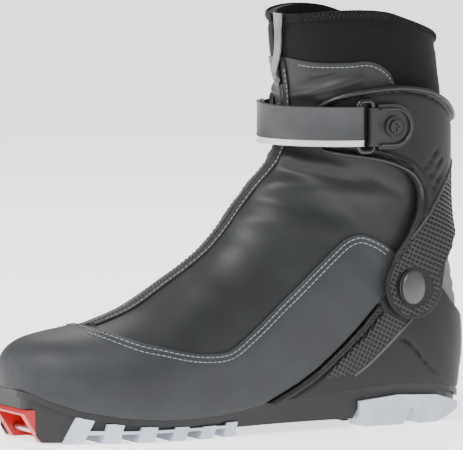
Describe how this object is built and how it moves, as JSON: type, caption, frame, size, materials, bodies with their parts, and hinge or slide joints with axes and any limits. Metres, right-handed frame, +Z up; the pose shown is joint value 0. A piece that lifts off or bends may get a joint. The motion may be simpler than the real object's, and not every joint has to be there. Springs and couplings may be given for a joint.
{
  "type": "cross country ski boot",
  "caption": "Left cross-country skate boot with zipped gaiter, hinged ankle cuff, ring-buckled cuff strap, lugged sole and toe bar.",
  "frame": {"origin": "on the floor under the middle of the boot's bounding box", "axes": "+X towards the toe, +Y to the outer (lateral) side of the left foot, +Z up"},
  "size_m": [0.302, 0.1048, 0.2525],
  "materials": {
    "sole_plastic": "matt moulded black",
    "shank_composite": "woven composite",
    "tread_rubber": "pale bluish white rubber",
    "toe_insert": "satin red plastic",
    "steel": "brushed",
    "board": "pressed fibre",
    "lining_foam": "black knit over foam",
    "overlay": "matt charcoal synthetic leather",
    "softshell": "coated stretch fabric",
    "grey_fabric": "light grey woven",
    "collar_neoprene": "black neoprene",
    "zip": "coated zip tape",
    "webbing": "woven webbing",
    "moulded": "textured olive black plastic",
    "pivot_cap": "smooth grey plastic",
    "strap": "coated strap with a pale stripe",
    "ring": "glossy black"
  },
  "bodies": {
    "boot": {"outsole_chassis": "sole_plastic", "shank_plate": "shank_composite", "forefoot_tread_lateral": "tread_rubber", "forefoot_tread_medial": "tread_rubber", "heel_tread_lateral": "tread_rubber", "heel_tread_medial": "tread_rubber", "toe_bar_housing": "toe_insert", "toe_bar": "steel", "lasting_board": "board", "footbed": "lining_foam", "foot_padding": "lining_foam", "ankle_padding": "lining_foam", "tongue": "lining_foam", "toe_puff": "board", "toe_wrap": "overlay", "softshell_lateral": "softshell", "softshell_medial": "softshell", "achilles_panel": "grey_fabric", "zip_chain": "zip", "zip_facing": "zip", "heel_counter": "moulded", "pivot_pin_lateral": "steel", "pivot_pin_medial": "steel"},
    "cuff": {"cuff_shell": "moulded", "cuff_liner": "lining_foam", "shaft_padding": "lining_foam", "collar": "collar_neoprene", "collar_binding": "collar_neoprene", "pivot_cap_lateral": "pivot_cap", "pivot_cap_medial": "pivot_cap", "strap_main": "strap", "strap_anchor_rivet": "steel", "strap_tab": "moulded", "tab_cup_washer": "moulded", "tab_screw": "steel", "tab_t_nut": "steel"},
    "ring": {"strap_ring": "ring"},
    "tail": {"strap_tail": "strap", "hook_patch": "strap"},
    "slider": {"zip_slider": "steel"},
    "pull": {"zip_pull_tape": "webbing"}
  },
  "joints": [
    {"name": "cuff_hinge", "type": "hinge", "parent": "boot", "child": "cuff", "pos_m": [-0.0995, 0, 0.0846], "axis": [0, 1, 0], "range_deg": [-6, 16], "stiffness_Nm_per_rad": 4, "deforming": ["softshell_lateral", "softshell_medial", "achilles_panel", "ankle_padding", "tongue", "zip_chain", "zip_facing"]},
    {"name": "ring_swivel", "type": "hinge", "parent": "cuff", "child": "ring", "pos_m": [-0.0708, 0.0482, 0.183], "axis": [0, 0, 1], "range_deg": [0, 15]},
    {"name": "tail_peel", "type": "hinge", "parent": "ring", "child": "tail", "pos_m": [-0.061, 0.0482, 0.183], "axis": [0, 0, 1], "range_deg": [0, 65]},
    {"name": "zip_slide", "type": "slide", "parent": "cuff", "child": "slider", "axis": [0.132, 0, 0.9912], "range_m": [-0.008, 0], "deforming": ["zip_chain"]},
    {"name": "zip_pull_swivel", "type": "hinge", "parent": "slider", "child": "pull", "pos_m": [-0.0297, 0, 0.211], "axis": [0, 1, 0], "range_deg": [0, 95]}
  ]
}
